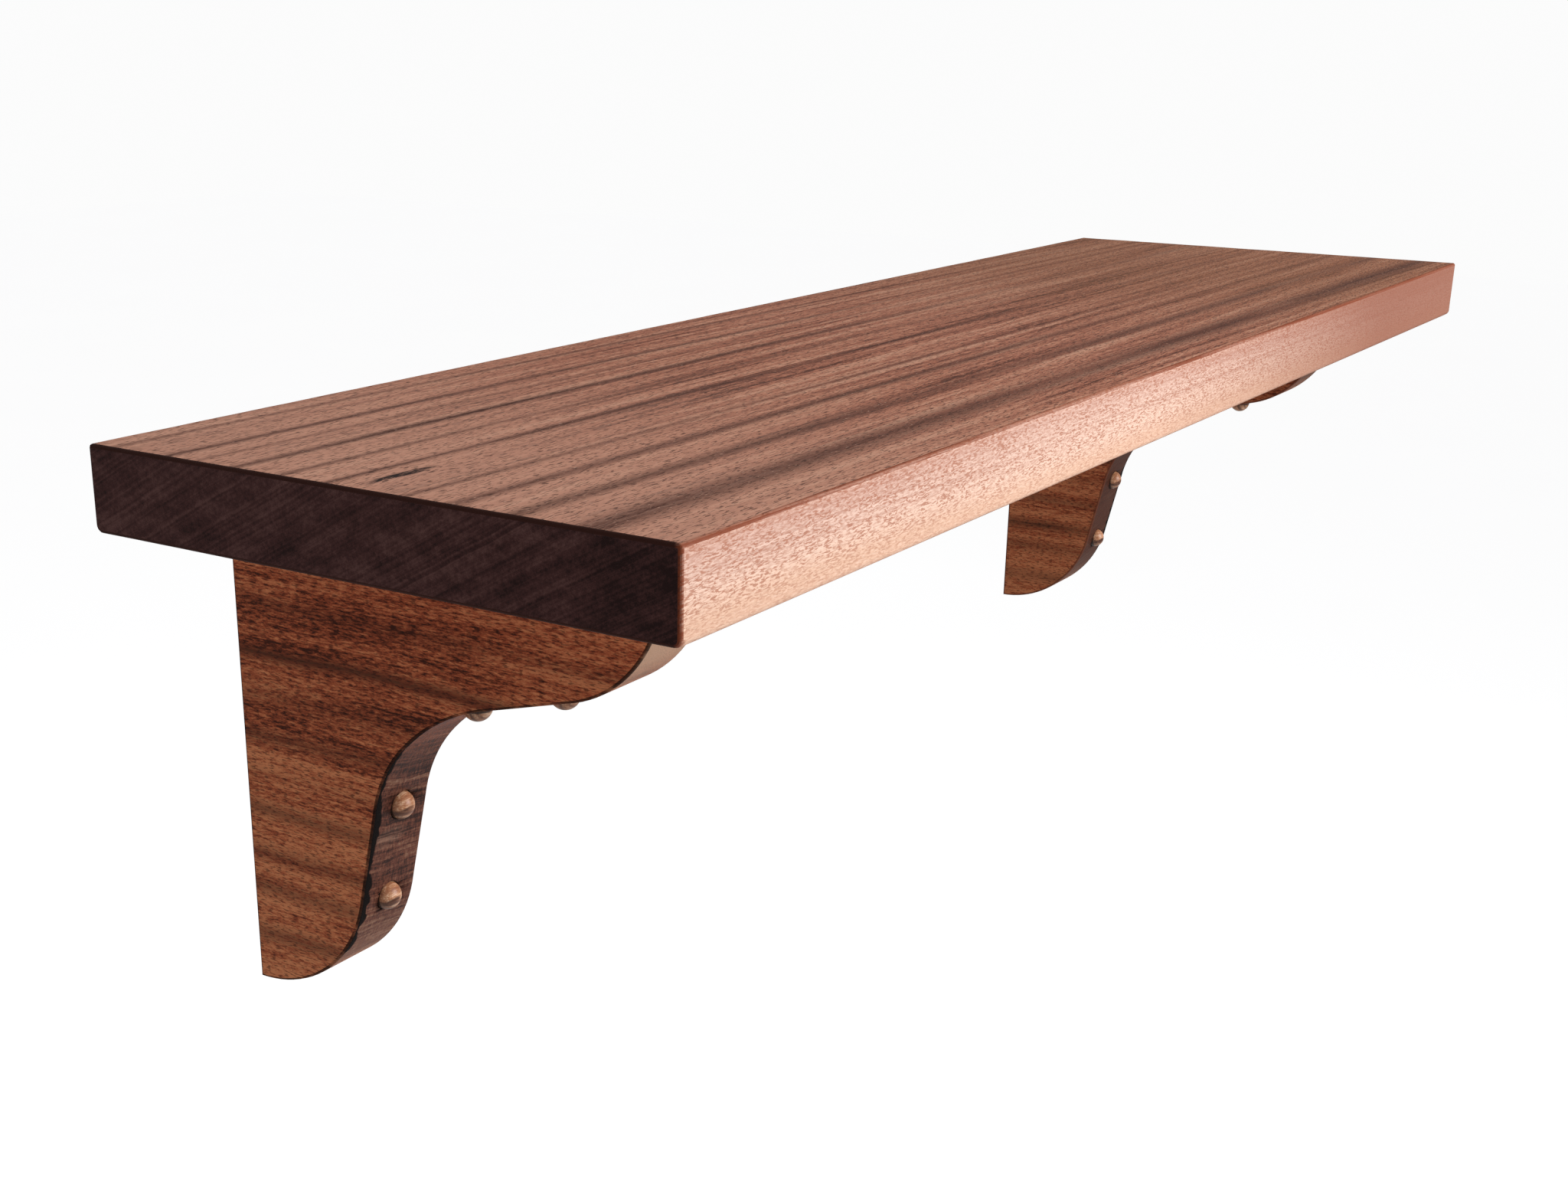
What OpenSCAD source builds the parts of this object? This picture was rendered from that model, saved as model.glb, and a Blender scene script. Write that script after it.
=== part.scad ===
// Wall shelf: a solid board on two shaped brackets, screwed together and to the wall,
// with every screw head sunk and covered by a domed wooden plug.
// The origin lies on the wall plane, at the middle of the four wall-screw holes.
// +X runs along the shelf, -Y faces the room and +Z is up.

/* [Shelf board] */
// Length of the board along the wall
shelf_len = 711; // [450:1:1500]
// Depth of the board from the wall to its front edge
shelf_depth = 203; // [168:1:300]
// Thickness of the board
shelf_thick = 26; // [21:0.5:40]

/* [Brackets] */
// Thickness of each bracket
bracket_thick = 25; // [18:0.5:40]
// Distance from an end of the board to the outer face of the bracket near it
bracket_inset = 52; // [10:1:150]
// Height of a bracket's leg, down the wall from the board's underside
leg_len = 163; // [136:1:220]
// Length of a bracket's arm, out from the wall under the board
arm_len = 163; // [142:1:170]
// Middle of the inner curve: its distance from the wall, and from the board as well
throat = 68; // [56:1:78]
// Radius of the hollow curve on the leg's side of the middle
leg_cove_r = 48; // [40:1:58]
// Radius of the hollow curve on the arm's side of the middle
arm_cove_r = 69; // [58:1:82]
// How far the leg's front leans back towards the wall, in degrees
leg_lean = 12.5; // [10:0.5:15]
// How far the arm's underside rises towards its tip, in degrees
arm_lean = 15; // [12.5:0.5:17]

/* [Screw places] */
// Drop of the upper wall screw below the board's underside
wall_screw_drop = 93; // [80:1:98]
// Distance between the two wall screws of a bracket
wall_screw_pitch = 33; // [20:1:38]
// Distance of the rear shelf screw from the wall
shelf_screw_reach = 87; // [75:1:95]
// Distance between the two shelf screws of a bracket
shelf_screw_pitch = 33; // [20:1:38]

/* [Screws] */
// Outside diameter of the screw thread
thread_d = 4.2; // [3:0.1:5]
// Diameter of the smooth shank under the head
shank_d = 3.2; // [2.4:0.1:4]
// Diameter of the screw head
head_d = 8.2; // [6:0.1:8.6]
// How deep a shelf screw bites into the board
screw_bite = 16; // [8:0.5:20]
// Length of the smooth shank, head included
shank_len = 18; // [6:1:24]
// Length of the pointed tip
tip_len = 5; // [3:0.5:8]
// Width of the slots of the cross recess in the head
recess_w = 1; // [0.6:0.1:1.4]
// Span of the cross recess
recess_span = 4; // [2:0.1:5]
// Depth of the cross recess
recess_depth = 1.5; // [0.5:0.1:1.8]

/* [Plugs and their holes] */
// Diameter of a plug
plug_d = 9.5; // [9:0.1:14]
// Height of the domed end above the wood around it
plug_dome = 4.2; // [1:0.1:4.5]
// Length of the plug inside its hole
plug_len = 10; // [6:0.5:10.5]
// Depth of the sunk hole from the bracket's face to the seat of the screw head
sunk_depth = 12; // [11:0.5:18]
// Gap round a plug in its hole
plug_gap = 0.2; // [0.05:0.05:0.5]
// Gap round a screw thread in the bracket
screw_gap = 0.2; // [0.1:0.05:0.5]

/* [Hidden] */
$fn = 96;
overcut = 1;                                          // how far a cut runs past a face
tuck = 0.05;                                          // overlap where a flat runs into an arc
head_angle = 41;                                      // half angle of the countersunk head
head_h = (head_d - shank_d) / 2 / tan(head_angle);    // height of the countersunk head
tip_d = 0.4 * thread_d;                               // blunt end of the screw's tip
hole_d = thread_d + 2 * screw_gap;                    // screw hole through a bracket
sunk_d = plug_d + 2 * plug_gap;                       // sunk hole for a head and its plug
under_z = wall_screw_drop + wall_screw_pitch / 2;     // height of the board's underside
bracket_x = shelf_len / 2 - bracket_inset - bracket_thick / 2;

// The two limbs of a bracket: name, length, cove radius, lean
LEG = ["leg", leg_len, leg_cove_r, leg_lean];
ARM = ["arm", arm_len, arm_cove_r, arm_lean];

// Sides of the shelf: name and direction along X
SIDES = [["left", -1], ["right", 1]];
// Screwed places on a limb: name, limb and distance along it
WALL_PLACES = [
    ["leg_upper", LEG, wall_screw_drop],
    ["leg_lower", LEG, wall_screw_drop + wall_screw_pitch],
];
SHELF_PLACES = [
    ["arm_rear", ARM, shelf_screw_reach],
    ["arm_front", ARM, shelf_screw_reach + shelf_screw_pitch],
];
PLACES = concat(WALL_PLACES, SHELF_PLACES);

// A limb's outline is worked out in its own plane: u is the distance out from the wall
// or the board that the limb lies along, and v is the distance along the limb from the
// corner. From the corner outwards it is the cove, a straight stretch that leans in by
// the lean angle, and an end arc that meets the wall or the board square.
function limb_len(limb) = limb[1];
function cove_r(limb) = limb[2];
function lean(limb) = limb[3];
function cove_c(limb) = throat + cove_r(limb) / sqrt(2);
function out_of_face(limb) = [cos(lean(limb)), sin(lean(limb))];
function face_line(limb) = out_of_face(limb) * [cove_c(limb), cove_c(limb)] - cove_r(limb);
function end_r(limb) =
    (face_line(limb) - limb_len(limb) * sin(lean(limb))) / (1 - sin(lean(limb)));
function end_c(limb) = [0, limb_len(limb) - end_r(limb)];
function cove_end(limb) =
    [cove_c(limb), cove_c(limb)] - cove_r(limb) * out_of_face(limb);
function arc_start(limb) = end_c(limb) + end_r(limb) * out_of_face(limb);

// Distance u of a limb's curved face at the distance v along it
function face_at(limb, v) =
    v > arc_start(limb)[1] ? sqrt(pow(end_r(limb), 2) - pow(v - end_c(limb)[1], 2))
    : v > cove_end(limb)[1] ? (face_line(limb) - v * sin(lean(limb))) / cos(lean(limb))
    : cove_c(limb) - sqrt(pow(cove_r(limb), 2) - pow(v - cove_c(limb), 2));

module limb_block(limb) {
    difference() {
        linear_extrude(bracket_thick) polygon([
            [0, 0], end_c(limb),
            arc_start(limb) - tuck * out_of_face(limb), cove_end(limb) + tuck * out_of_face(limb),
            [cove_c(limb), cove_c(limb)]
        ]);
        translate([cove_c(limb), cove_c(limb), -overcut])
            cylinder(r = cove_r(limb), h = bracket_thick + 2 * overcut);
    }
    intersection() {
        translate(end_c(limb)) cylinder(r = end_r(limb), h = bracket_thick);
        translate(end_c(limb)) cube([end_r(limb), end_r(limb), bracket_thick]);
    }
}

// Places children on a limb at the distance v, with their +Z out through the limb's
// face and their origin where the limb meets the wall or the board
module at_place(place) {
    v = place[2];
    if (place[1][0] == "leg") translate([0, 0, -v]) rotate([90, 0, 0]) children();
    else translate([0, -v, 0]) rotate([180, 0, 0]) children();
}

// Puts a bracket's pieces on their side: their own origin is the corner between the
// wall and the board, at the middle of the bracket's thickness
module on_side(side) {
    translate([side[1] * bracket_x, 0, under_z]) children();
}

// Each round hole or screw is one turned outline, given as radius and height, so that
// its stretches meet without a seam
module screw_way(place) {
    face = face_at(place[1], place[2]);
    seat = face - sunk_depth;
    cone_h = (head_d - thread_d) / 2 / tan(head_angle);
    at_place(place) rotate_extrude() polygon([
        [0, -overcut], [hole_d / 2, -overcut], [hole_d / 2, seat - cone_h],
        [head_d / 2 + screw_gap, seat], [sunk_d / 2, seat],
        [sunk_d / 2, seat + sunk_depth + sunk_d], [0, seat + sunk_depth + sunk_d]
    ]);
}

module bracket() {
    color("saddlebrown") difference() {
        translate([-bracket_thick / 2, 0, 0]) rotate([-90, 0, -90]) {
            limb_block(LEG);
            mirror([1, -1, 0]) limb_block(ARM);
        }
        for (place = PLACES) screw_way(place);
    }
}

module shelf_board() {
    color("sienna") difference() {
        translate([-shelf_len / 2, -shelf_depth, under_z])
            cube([shelf_len, shelf_depth, shelf_thick]);
        for (side = SIDES, place = SHELF_PLACES)
            on_side(side) at_place(place) screw_bite_hole();
    }
}

// The hole that a shelf screw's thread cuts for itself in the board
module screw_bite_hole() {
    rotate_extrude() polygon([
        [0, -screw_bite], [tip_d / 2, -screw_bite], [thread_d / 2, tip_len - screw_bite],
        [thread_d / 2, overcut], [0, overcut]
    ]);
}

module shelf_screw(place) {
    seat = face_at(place[1], place[2]) - sunk_depth;
    color("silver") at_place(place) difference() {
        rotate_extrude() polygon([
            [0, -screw_bite], [tip_d / 2, -screw_bite], [thread_d / 2, tip_len - screw_bite],
            [thread_d / 2, seat - shank_len], [shank_d / 2, seat - shank_len],
            [shank_d / 2, seat - head_h], [head_d / 2, seat], [0, seat]
        ]);
        for (turn = [0, 90])
            translate([0, 0, seat - recess_depth]) rotate([0, 0, turn])
                translate([-recess_span / 2, -recess_w / 2, 0])
                    cube([recess_span, recess_w, recess_depth + overcut]);
    }
}

// A plug's dome is a cap of the ball that passes through its rim and its top
module plug(place) {
    face = face_at(place[1], place[2]);
    ball_r = (pow(plug_d / 2, 2) + pow(plug_dome, 2)) / (2 * plug_dome);
    color("peru") at_place(place) translate([0, 0, face - plug_len]) {
        cylinder(d = plug_d, h = plug_len);
        translate([0, 0, plug_len]) intersection() {
            translate([0, 0, plug_dome - ball_r]) sphere(ball_r);
            cylinder(d = plug_d, h = plug_dome + overcut);
        }
    }
}

shelf_board();
for (side = SIDES) {
    on_side(side) bracket();
    for (place = SHELF_PLACES)
        on_side(side) shelf_screw(place);
    for (place = PLACES)
        on_side(side) plug(place);
}
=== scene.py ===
"""Looks of a solid wood wall shelf: an oiled board on two ogee brackets, with domed plugs
over the sunk screws. Lengths are metres in the part's own frame unless a name says mm."""

import math
from functools import partial

import bmesh
import bpy
from bpy.props import FloatProperty, FloatVectorProperty, PointerProperty
from mathutils import Matrix, Vector, noise


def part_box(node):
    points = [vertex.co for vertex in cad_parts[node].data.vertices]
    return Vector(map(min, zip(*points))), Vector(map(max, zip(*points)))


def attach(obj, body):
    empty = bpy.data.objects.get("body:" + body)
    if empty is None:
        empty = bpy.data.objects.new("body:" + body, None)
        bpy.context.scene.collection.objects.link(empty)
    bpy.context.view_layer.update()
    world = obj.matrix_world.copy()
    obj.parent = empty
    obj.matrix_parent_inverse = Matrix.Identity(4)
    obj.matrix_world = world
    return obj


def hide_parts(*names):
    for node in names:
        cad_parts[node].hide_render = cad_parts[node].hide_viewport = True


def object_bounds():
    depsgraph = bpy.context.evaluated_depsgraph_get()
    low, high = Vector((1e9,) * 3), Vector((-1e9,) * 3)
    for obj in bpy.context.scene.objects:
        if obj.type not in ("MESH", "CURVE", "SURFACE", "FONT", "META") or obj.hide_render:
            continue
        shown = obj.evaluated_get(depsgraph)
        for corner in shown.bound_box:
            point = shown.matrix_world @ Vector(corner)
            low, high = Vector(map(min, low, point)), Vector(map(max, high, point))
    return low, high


bl_info = {
    "name": "Wall Shelf with Brackets",
    "version": (1, 0, 0),
    "blender": (4, 5, 0),
    "location": "View3D > Sidebar > Wall Shelf",
    "description": "Builds a solid wood wall shelf with shaped brackets and domed plugs",
    "category": "Object",
}

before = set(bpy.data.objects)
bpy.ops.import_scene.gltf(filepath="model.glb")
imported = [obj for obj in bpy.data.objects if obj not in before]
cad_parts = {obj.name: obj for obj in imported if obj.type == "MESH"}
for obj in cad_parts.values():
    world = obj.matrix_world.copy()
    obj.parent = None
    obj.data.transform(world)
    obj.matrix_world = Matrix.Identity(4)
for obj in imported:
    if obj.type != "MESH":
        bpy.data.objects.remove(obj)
CAD_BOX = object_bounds()

MM = 0.001
SIDES = ("left", "right")
LEG_PLACES = ("leg_upper", "leg_lower")
ARM_PLACES = ("arm_rear", "arm_front")
SCREWS = [f"{side}_{place}_screw" for side in SIDES for place in ARM_PLACES]
PLUGS = [f"{side}_{place}_plug" for side in SIDES for place in LEG_PLACES + ARM_PLACES]

BOARD_LOW, BOARD_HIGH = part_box("shelf_board")
BRACKET_LOW, BRACKET_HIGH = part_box("left_bracket")
PLUG_LOW, PLUG_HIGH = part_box("left_leg_upper_plug")
PLUG_WIDTH = PLUG_HIGH.x - PLUG_LOW.x

SUNK_REACH = 0.56 * PLUG_WIDTH  # a little more than the radius of a plug's hole
JOIN_WITHIN = 0.001 * MM  # corners nearer than this are one corner
FLAT_TURN = math.radians(0.3)  # faces that meet at less than this are one flat face
SHARP_TURN = math.radians(40)  # faces that meet at more than this keep a crisp edge
BOARD_CUTS = (88, 24, 2)  # cuts that let the board's edges wander, along X, Y and Z
FLOOR_DROP = 1.4  # the floor's depth below the shelf's origin
FLOOR_HALF = 14.0  # half the width of the floor


def linear(code):
    """Turns an sRGB hex colour into linear values."""
    values = [int(code[i:i + 2], 16) / 255 for i in (1, 3, 5)]
    return tuple(v / 12.92 if v <= 0.04045 else ((v + 0.055) / 1.055) ** 2.4 for v in values)


def colour(name, description, code):
    """A colour that the user can change, from its hex code."""
    return FloatVectorProperty(
        name=name, description=description, default=linear(code),
        subtype="COLOR", size=3, min=0.0, max=1.0)


def length(name, description, default, low, high):
    """A length that the user can change, in metres."""
    return FloatProperty(
        name=name, description=description, default=default,
        min=low, max=high, unit="LENGTH", subtype="DISTANCE", precision=4)


class ShelfSizes(bpy.types.PropertyGroup):
    """Sizes that the drawn part leaves open"""

    board_ease: length("Board edge easing", "Radius sanded onto the board's upper edges",
                       1.1 * MM, 0.2 * MM, 4 * MM)
    board_under_ease: length("Board lower edge easing",
                             "Radius sanded onto the board's two long lower edges",
                             2.4 * MM, 0.2 * MM, 4 * MM)
    bracket_ease: length("Bracket edge easing", "Radius sanded onto the brackets' edges",
                         0.9 * MM, 0.2 * MM, 3 * MM)
    hand_wander: length("Sanding wander", "How far a sanded edge strays from a true line",
                        0.12 * MM, 0.0, 0.5 * MM)
    plug_width: length("Plug diameter", "Diameter of a domed plug",
                       PLUG_WIDTH, 5 * MM, 20 * MM)
    plug_dome: length("Plug dome", "Height of the plug's dome above the wood",
                      4.2 * MM, 0.5 * MM, 8 * MM)


class ShelfColours(bpy.types.PropertyGroup):
    """Colours of the woods and the steel"""

    board: colour("Board", "Sapele, quarter-sawn face", "#B37058")
    board_light: colour("Board ribbon", "Light ribbons in the board's face", "#DDA488")
    board_dark: colour("Board streak", "Dark streaks in the board's face", "#512B20")
    # Pale partly as flat-sawn wood and partly as painted sheen
    board_edge_and_sheen: colour("Board edge", "Long edges of the board, flat-sawn", "#D3A996")
    board_end: colour("Board end", "End grain, soaked dark with oil", "#4B2D2B")
    bracket: colour("Bracket", "Sapele, face of a bracket", "#A95435")
    bracket_light: colour("Bracket ribbon", "Light ribbons in a bracket", "#DF8D60")
    bracket_dark: colour("Bracket streak", "Dark streaks in a bracket", "#3E2016")
    bracket_end: colour("Bracket end", "End grain on the front of a leg", "#5B3428")
    plug: colour("Plug", "Oiled beech of the plugs", "#AE7855")
    plug_dark: colour("Plug streak", "Darker year rings in the plugs", "#42200F")
    steel: colour("Screw", "Zinc plated steel", "#C4C6C8")
    floor: colour("Floor", "Pale floor", "#F2F2F3")


class StageSettings(bpy.types.PropertyGroup):
    """Camera and light"""

    camera_place: FloatVectorProperty(
        name="Camera place", description="Where the camera stands",
        default=(-0.741, -0.458, 0.252), subtype="TRANSLATION", unit="LENGTH", size=3)
    heading: FloatProperty(
        name="Heading", description="Camera's turn from the wall's normal towards the right",
        default=math.radians(56.82), subtype="ANGLE", unit="ROTATION")
    dip: FloatProperty(
        name="Dip", description="How far the camera looks down",
        default=math.radians(20.15), subtype="ANGLE", unit="ROTATION")
    roll: FloatProperty(
        name="Roll", description="Camera's roll",
        default=math.radians(0.48), subtype="ANGLE", unit="ROTATION")
    lens: FloatProperty(
        name="Lens", description="Focal length on a 36 mm sensor, in millimetres",
        default=46.67, min=10, max=300, unit="CAMERA")
    sky: FloatProperty(
        name="Room light", description="Strength of the even white light of the room",
        default=0.36, min=0, max=5)
    room_shown: FloatProperty(
        name="Room as seen", description="How bright the room looks to the camera itself",
        default=0.97, min=0, max=5)
    floor_glow: FloatProperty(
        name="Floor as seen", description="What the camera itself sees added to the floor",
        default=0.64, min=0, max=5)
    key: FloatProperty(
        name="Soft box", description="Power of the soft box at the front right, in watts",
        default=66.0, min=0, max=1000, unit="POWER")
    shift: FloatVectorProperty(
        name="Shift", description="Sideways and upward shift of the lens",
        default=(0.0596, 0.107), size=2)


# --- nodes ---------------------------------------------------------------------------

MATH, RANGE, MIX, RAMP, NOISE = (
    "ShaderNodeMath", "ShaderNodeMapRange", "ShaderNodeMix", "ShaderNodeValToRGB",
    "ShaderNodeTexNoise")
VECTOR, SPLIT, JOIN = (
    "ShaderNodeVectorMath", "ShaderNodeSeparateXYZ", "ShaderNodeCombineXYZ")
LESS, TIMES, OVER, TIMES_PLUS = (
    {"operation": name} for name in ("SUBTRACT", "MULTIPLY", "DIVIDE", "MULTIPLY_ADD"))
SMOOTH = {"interpolation_type": "SMOOTHSTEP"}
BEND, RIPPLE = 6.0, 1.8  # how far year rings stray from straight, in mm, slowly and quickly
COLOURS = {"data_type": "RGBA", "output": 2}
UNDER, ON_TOP = 6, 7  # the two colour sockets of a mix node


def add(tree, kind, *values, inputs=None, output=0, stops=(), **settings):
    """Adds a node with its settings and ramp stops, fills its inputs in order and by name
    with values or links, and gives one of its outputs. A number stands for a grey."""
    node = tree.nodes.new(kind)
    for name, value in settings.items():
        setattr(node, name, value)
    for index, (place, shade) in enumerate(stops):
        ramp = node.color_ramp.elements
        element = ramp[index] if index < 2 else ramp.new(place)
        element.position = place
        element.color = (*shade, 1.0) if isinstance(shade, tuple) else (*(shade,) * 3, 1.0)
    for socket, value in [*enumerate(values), *(inputs or {}).items()]:
        if isinstance(value, bpy.types.NodeSocket):
            tree.links.new(value, node.inputs[socket])
        elif value is not None:
            flat = node.inputs[socket].type == "RGBA"
            node.inputs[socket].default_value = (*value, 1.0) if flat else value
    return node.outputs[output] if node.outputs else node


def streak_stops(streaks, span):
    """Ramp stops for streaks given as middle, half width and darkness, over a span in mm."""
    stops = [(0.0, 0.0)]
    for middle, half, dark in streaks:
        stops += [((middle - half) / span, 0.0), (middle / span, dark),
                  ((middle + half) / span, 0.0)]
    return stops


# --- materials -----------------------------------------------------------------------


def start_material(name):
    """A new material with an empty node tree."""
    material = bpy.data.materials.new(name)
    material.use_nodes = True
    tree = material.node_tree
    tree.nodes.clear()
    return material, tree


def finish_material(tree, base, roughness, bump, **levels):
    """Closes a material with its shader; levels are constants on the shader's sockets."""
    inputs = {"Base Color": base, "Roughness": roughness, "Normal": bump}
    inputs.update({name.replace("_", " "): value for name, value in levels.items()})
    shader = add(tree, "ShaderNodeBsdfPrincipled", inputs=inputs)
    add(tree, "ShaderNodeOutputMaterial", shader)


def board_sapele(colours):
    """Sapele, quarter-sawn, sanded and oiled: straight ribbon figure with dark streaks on
    the face, paler speckled long edges whose paleness is partly painted sheen, painted sheen
    towards the left end, painted glints on the face's pores, and end grain that drinks oil
    and turns dark."""
    material, tree = start_material("sapele_board_oiled")
    make = partial(add, tree)
    object_place = make("ShaderNodeTexCoord", output="Object")
    normal = make("ShaderNodeNewGeometry", output="True Normal")
    mm = make(VECTOR, object_place, inputs={"Scale": 1 / MM}, operation="SCALE")
    x, y, z = (make(SPLIT, mm, output=axis) for axis in range(3))
    nx, ny = (make(SPLIT, normal, output=axis) for axis in range(2))
    to_end = make(RANGE, make(MATH, nx, operation="ABSOLUTE"), 0.45, 0.9, **SMOOTH)
    to_edge = make(RANGE, make(MATH, ny, operation="ABSOLUTE"), 0.45, 0.9, **SMOOTH)

    # The year rings lean: distance across them, counted from the wall on the upper face
    ring_lean = 1.8
    depth = make(MATH, BOARD_HIGH.z / MM, z, **LESS)
    across = make(MATH, depth, ring_lean, make(MATH, y, -1.0, **TIMES), **TIMES_PLUS)
    wander = make(NOISE, make(VECTOR, mm, (650.0, 120.0, 120.0), **OVER), None, 1.0, 1.0)
    ripple = make(NOISE, make(VECTOR, mm, (70.0, 14.0, 14.0), **OVER), None, 1.0)
    stray = make(MATH, wander, BEND, make(MATH, x, -0.014, **TIMES), **TIMES_PLUS)
    stray = make(MATH, ripple, RIPPLE, stray, **TIMES_PLUS)
    rings = make(MATH, across, make(MATH, stray, (BEND + RIPPLE) / 2, **LESS))
    ring_place = make(JOIN, x, rings, z)

    # Ribbons and fibres, drawn a little coarser than they are so that they show
    broad, ribbon, line, fibre, patchy, vessel, pore_glint = (
        make(NOISE, make(VECTOR, place, size, **OVER), None, 1.0, detail, rough)
        for place, size, detail, rough in (
            (ring_place, (520.0, 34.0, 200.0), 2.0, 0.5),
            (ring_place, (260.0, 5.0, 60.0), 2.0, 0.55),
            (ring_place, (120.0, 1.9, 30.0), 3.0, 0.65),
            (mm, (8.0, 1.1, 1.1), 3.0, 0.8),
            (ring_place, (160.0, 12.0, 60.0), 2.0, 0.5),
            (mm, (3.2, 0.6, 0.6), 1.0, 0.5),
            (mm, (2.4, 0.6, 0.6), 1.0, 0.5)))
    pores = make(RANGE, vessel, 0.54, 0.66, **SMOOTH)

    tone = make(MATH, broad, 0.12, **TIMES)
    for part, weight in ((ribbon, 0.42), (line, 0.50), (fibre, 0.50)):
        tone = make(MATH, part, weight, tone, **TIMES_PLUS)
    face = make(RAMP, tone, stops=[
        (0.63, linear("#643828")), (0.73, tuple(colours.board)),
        (0.80, linear("#C58469")), (0.90, tuple(colours.board_light))])

    # Streaks on the upper face, from the wall to the front; behind they fade to the right
    streaks = [(15, 2.4, 0.75), (36, 2.4, 0.85), (47, 1.8, 0.5), (61, 3.4, 1.0),
               (78, 2.4, 0.75), (95, 2.8, 1.0), (122, 2.6, 0.7), (138, 4.0, 0.8),
               (158, 5.5, 0.8), (182, 9.0, 0.88)]
    span = 250.0
    marks = make(RAMP, make(MATH, rings, span, **OVER), stops=streak_stops(streaks, span))
    kept = make(MATH, make(RANGE, across, 140.0, 155.0, **SMOOTH),
                make(RANGE, x, -60.0, 120.0, 1.0, 0.35, **SMOOTH), operation="MAXIMUM")
    broken = make(RANGE, patchy, 0.30, 0.52, 0.55, 1.0, **SMOOTH)
    ragged = make(RANGE, make(MATH, line, fibre), 0.75, 1.2, 0.65, 1.2, **SMOOTH)
    dark = make(MATH, make(MATH, marks, broken, **TIMES),
                make(MATH, kept, ragged, **TIMES), **TIMES)

    # A pin knot near the left end, drawn out along the grain
    knot_x = make(MATH, make(MATH, x, 336.0), 17.0, **OVER)
    knot_y = make(MATH, make(MATH, rings, 104.0, **LESS), 2.6, **OVER)
    knot = make(MATH, make(MATH, knot_x, knot_x, **TIMES),
                make(MATH, knot_y, knot_y, **TIMES))
    knot = make(MATH, make(RANGE, knot, 0.3, 1.0, 1.0, 0.0, **SMOOTH),
                make(RANGE, fibre, 0.36, 0.50, **SMOOTH), **TIMES)
    # Rosier and paler towards the left end: partly the wood's own colour, partly painted
    # sheen
    rosy_and_sheen = make(RANGE, x, -110.0, -355.0, 0.0, 0.62, **SMOOTH)
    olive = make(RANGE, x, -40.0, 260.0, 0.0, 0.5, **SMOOTH)
    for amount, stain in (
            (rosy_and_sheen, linear("#DEA78F")), (olive, linear("#90603F")),
            (dark, tuple(colours.board_dark)), (knot, linear("#2A1A17")),
            (make(MATH, pores, 0.68, **TIMES), linear("#42241A")),
            # Painted glints: pale flecks where the pores catch the light
            (make(RANGE, pore_glint, 0.68, 0.74, 0.0, 0.6), linear("#E0B29A"))):
        face = make(MIX, amount, inputs={UNDER: face, ON_TOP: stain}, **COLOURS)

    # Long edges: rosy lines above, plain tan below, with short worm-like vessels, and
    # browner to the right; their pale colour is partly the flat-sawn wood and partly painted
    # sheen
    height = make(MATH, depth, (BOARD_HIGH.z - BOARD_LOW.z) / MM, **OVER)
    edge_tone = make(MATH, broad, 0.4, height, **TIMES_PLUS)
    edge = make(RAMP, edge_tone, stops=[
        (0.20, tuple(colours.board_edge_and_sheen)), (0.38, linear("#CCA596")),
        (0.58, linear("#DAB8A8")), (0.80, linear("#E1BFAC")), (1.0, linear("#D8B199"))])
    worm, curl = (
        make(NOISE, make(VECTOR, mm, size, **OVER), None, 1.0, 2.0, 0.55,
             inputs={"Distortion": 0.6})
        for size in ((2.3, 1.0, 0.5), (5.0, 4.0, 2.6)))
    lines = make(MATH, make(RANGE, line, 0.46, 0.62, 0.0, 0.45, **SMOOTH),
                 make(RANGE, height, 0.75, 0.35, 0.15, 1.0, **SMOOTH), **TIMES)
    worms = make(MATH, make(RANGE, worm, 0.49, 0.55, 0.0, 0.78, **SMOOTH),
                 make(RANGE, curl, 0.38, 0.55, 0.45, 1.0, **SMOOTH), **TIMES)
    worms = make(MATH, worms, make(RANGE, height, 0.95, 0.6, 0.45, 1.0, **SMOOTH), **TIMES)
    to_right = make(RANGE, make(MATH, ripple, 40.0, x, **TIMES_PLUS), -70.0, 270.0,
                    0.0, 0.90, **SMOOTH)
    for amount, stain in (
            (lines, linear("#AE7C6B")), (worms, linear("#A66B54")),
            (make(RANGE, worm, 0.42, 0.34, 0.0, 0.28, **SMOOTH), linear("#F0D4C4")),
            (to_right, linear("#8A5746"))):
        edge = make(MIX, amount, inputs={UNDER: edge, ON_TOP: stain}, **COLOURS)

    # End grain: lines along the rings and uneven soaking, darkest towards the arrises
    end_line, soak = (
        make(NOISE, make(VECTOR, place, size, **OVER), None, 1.0, 3.0, 0.7)
        for place, size in ((ring_place, (400.0, 2.2, 500.0)), (mm, (40.0, 16.0, 7.0))))
    end_tone = make(MATH, fibre, 0.35, make(MATH, end_line, 0.35, **TIMES), **TIMES_PLUS)
    end_tone = make(MATH, soak, 0.35, end_tone, **TIMES_PLUS)
    to_corner = make(RANGE, y, -150.0, -200.0, 0.0, -0.07, **SMOOTH)
    end = make(RAMP, make(MATH, end_tone, to_corner), stops=[
        (0.40, linear("#2A1716")), (0.52, tuple(colours.board_end)),
        (0.64, linear("#664642"))])

    base = make(MIX, to_edge, inputs={UNDER: face, ON_TOP: edge}, **COLOURS)
    base = make(MIX, to_end, inputs={UNDER: base, ON_TOP: end}, **COLOURS)

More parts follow.
